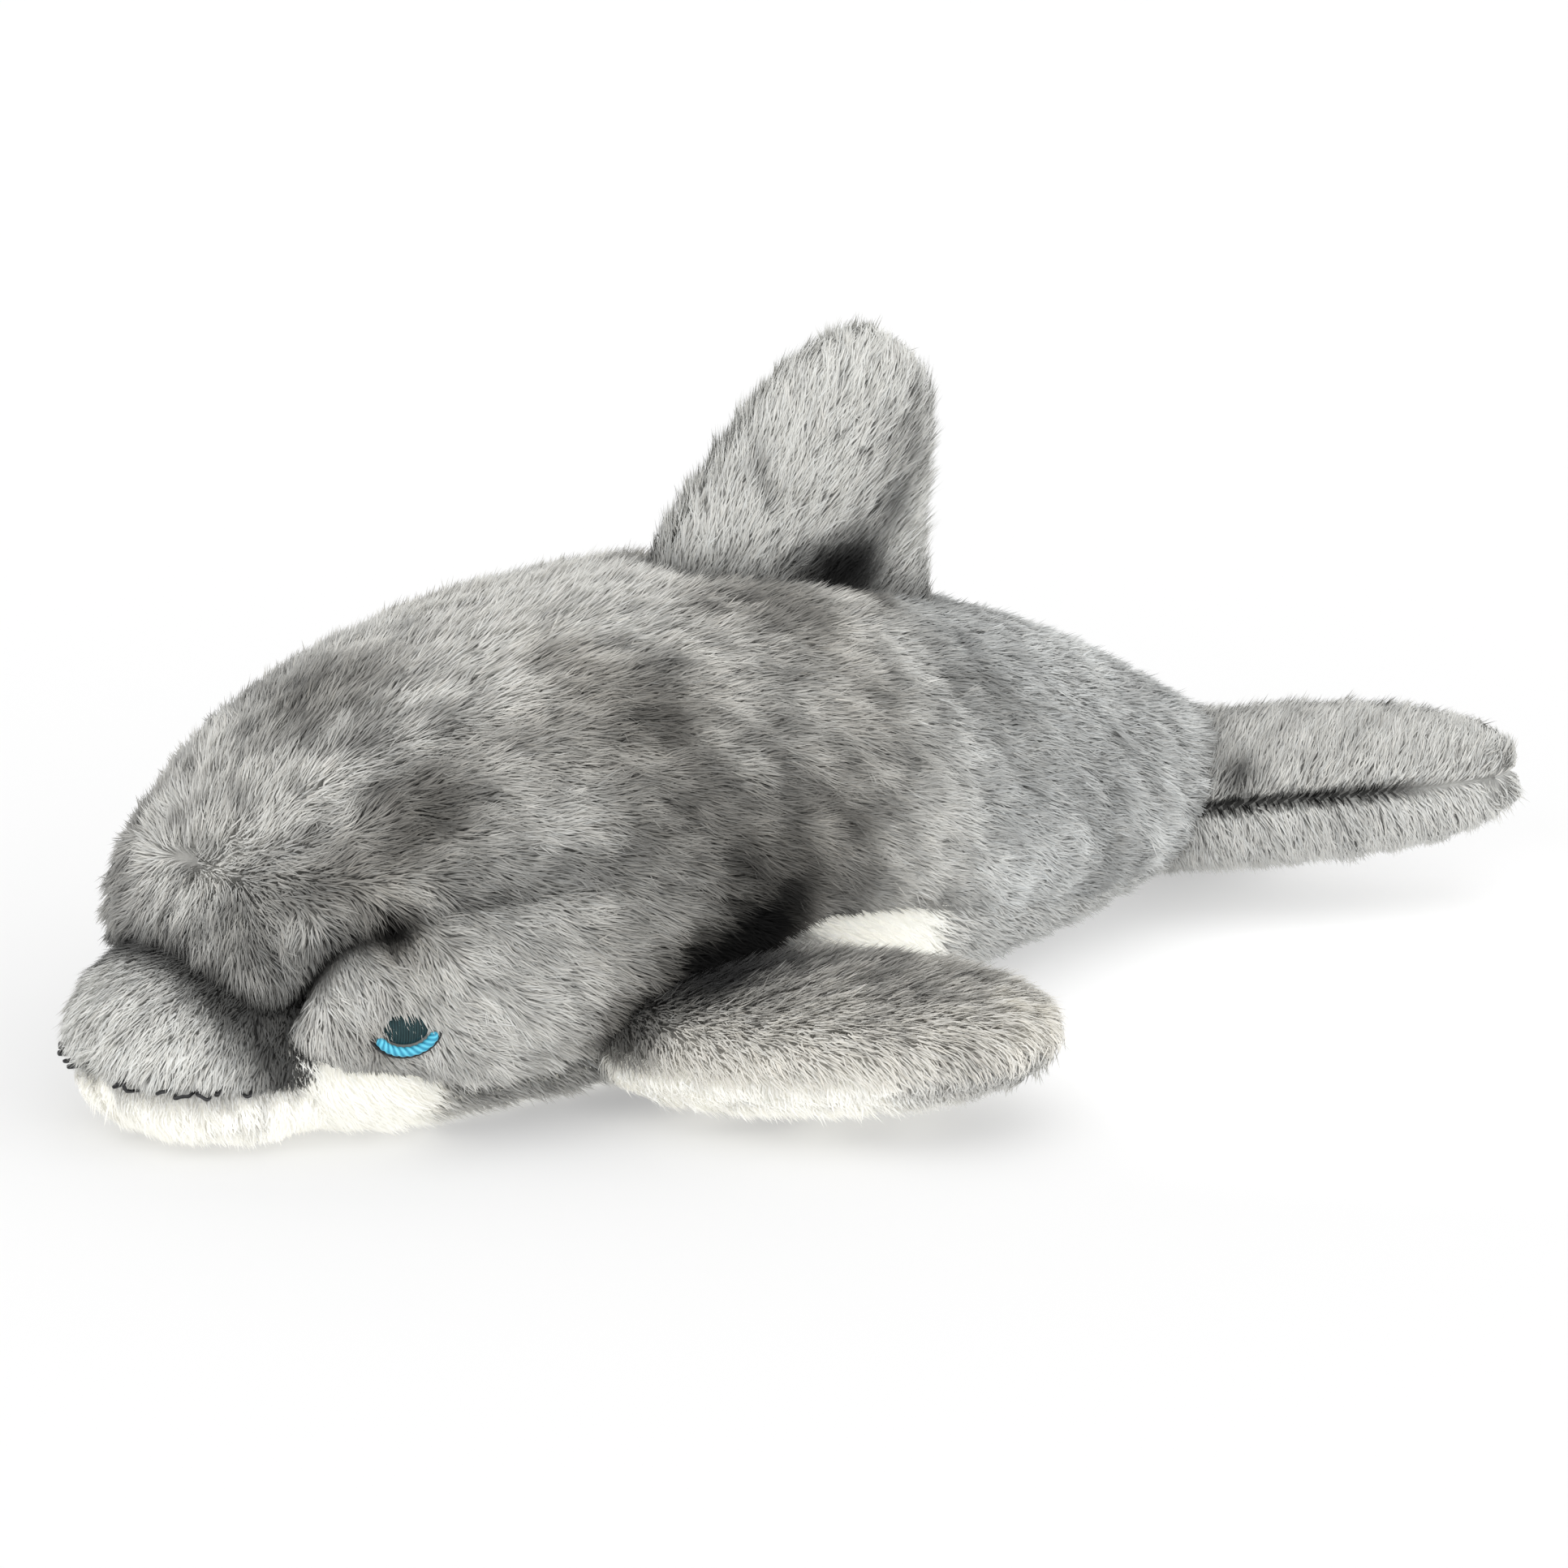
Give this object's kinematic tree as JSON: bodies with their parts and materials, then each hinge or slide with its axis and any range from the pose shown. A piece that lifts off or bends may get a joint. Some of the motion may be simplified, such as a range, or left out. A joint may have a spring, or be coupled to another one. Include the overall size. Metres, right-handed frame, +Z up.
{
  "type": "plush dolphin",
  "caption": "Soft long-pile toy dolphin lying on its belly, with a short beak, raised dorsal fin, spread flippers, forked fluke and embroidered eyes.",
  "frame": {"origin": "under the middle of the toy's box, on the plane that its belly lies on", "axes": "+X from the beak to the tail, -Y towards the dolphin's left side, +Z up"},
  "size_m": [0.2922, 0.1936, 0.1195],
  "materials": {
    "grey_plush": "long soft pile, mottled grey",
    "pale_grey_plush": "long soft pile, pale grey",
    "white_plush": "long soft pile, warm white",
    "fibre_filling": "loose white fibre",
    "eye_thread": "satin stitched thread",
    "blue_thread": "twisted thread",
    "dark_thread": "twisted thread"
  },
  "bodies": {
    "root": {"back_left": "grey_plush", "back_right": "grey_plush", "cheek_left": "grey_plush", "cheek_right": "grey_plush", "flipper_left_upper": "grey_plush", "flipper_right_upper": "grey_plush", "beak_upper": "pale_grey_plush", "dorsal_fin_left": "pale_grey_plush", "dorsal_fin_right": "pale_grey_plush", "fluke_upper": "pale_grey_plush", "fluke_lower": "pale_grey_plush", "belly": "white_plush", "beak_lower": "white_plush", "flipper_left_lower": "white_plush", "flipper_right_lower": "white_plush", "body_filling": "fibre_filling", "beak_filling": "fibre_filling", "dorsal_fin_filling": "fibre_filling", "flipper_left_filling": "fibre_filling", "flipper_right_filling": "fibre_filling", "fluke_filling": "fibre_filling", "eye_left": "eye_thread", "eye_right": "eye_thread", "eye_ring_left": "blue_thread", "eye_ring_right": "blue_thread", "eye_outline_left": "dark_thread", "eye_outline_right": "dark_thread", "mouth_thread": "dark_thread"}
  },
  "joints": []
}
